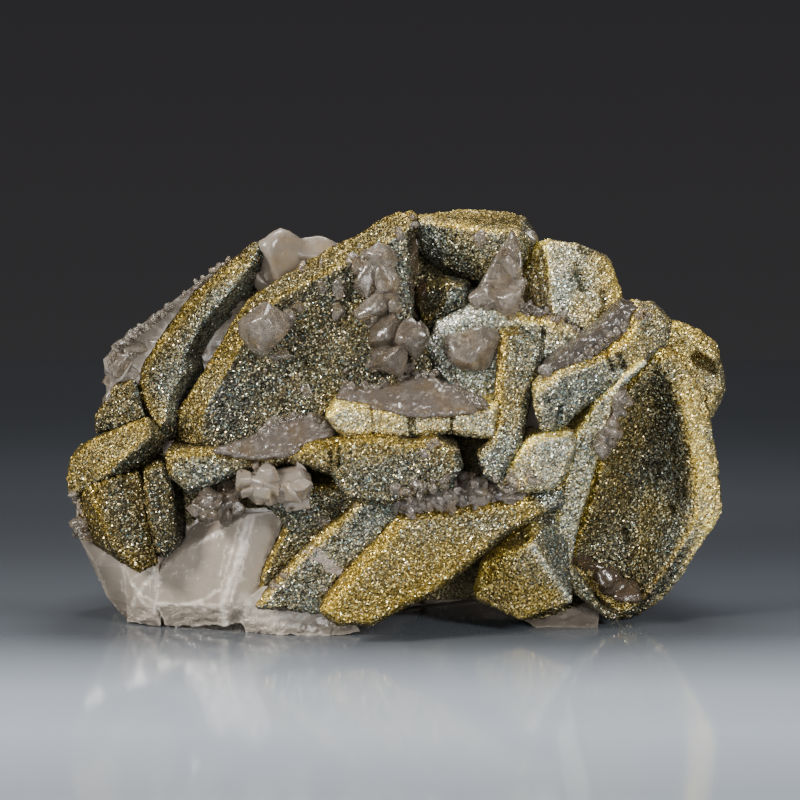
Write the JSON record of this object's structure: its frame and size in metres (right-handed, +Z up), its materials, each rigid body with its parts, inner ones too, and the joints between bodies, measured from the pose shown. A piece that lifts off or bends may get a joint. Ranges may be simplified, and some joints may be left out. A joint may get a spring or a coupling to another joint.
{
  "type": "calcite crystal cluster",
  "caption": "Natural cluster of thick bladed calcite crystals under a brassy sulphide druse, with clear cleaved calcite at its foot, left rim and back.",
  "frame": {"origin": "middle of the cluster's box, on the plane it rests on", "axes": "+X to the right as seen from the display side, +Y to the back, +Z up"},
  "size_m": [0.113, 0.0564, 0.0714],
  "materials": {
    "druse": "sparkling brassy druse",
    "clear_calcite": "clear to white, cleaved"
  },
  "bodies": {
    "root": {"front_blade": "druse", "small_plate": "druse", "upright_blade": "druse", "upper_shelf_blade": "druse", "lower_shelf_blade": "druse", "diagonal_blade": "druse", "narrow_blade": "druse", "ledge_blade": "druse", "small_left_blade": "druse", "lower_left_blade": "druse", "upper_left_blade": "druse", "left_rim_blade": "druse", "arch_blade": "druse", "great_blade": "druse", "top_block": "druse", "right_block": "druse", "cave_blade": "druse", "shield_blade": "druse", "shoulder_blade": "druse", "foot_wedge": "druse", "hollow_blade": "druse", "leaning_blade": "druse", "clear_spike": "clear_calcite", "upper_shelf_druse": "clear_calcite", "lower_shelf_druse": "clear_calcite", "diagonal_druse": "clear_calcite", "arch_druse": "clear_calcite", "left_face_crystals": "clear_calcite", "upper_face_crystals": "clear_calcite", "lower_face_crystals": "clear_calcite", "arch_crystal": "clear_calcite", "hollow_crystals": "clear_calcite", "left_hollow_crystals": "clear_calcite", "front_crystals": "clear_calcite", "narrow_blade_crystals": "clear_calcite", "foot_crystals": "clear_calcite", "calcite_base": "clear_calcite"}
  },
  "joints": []
}
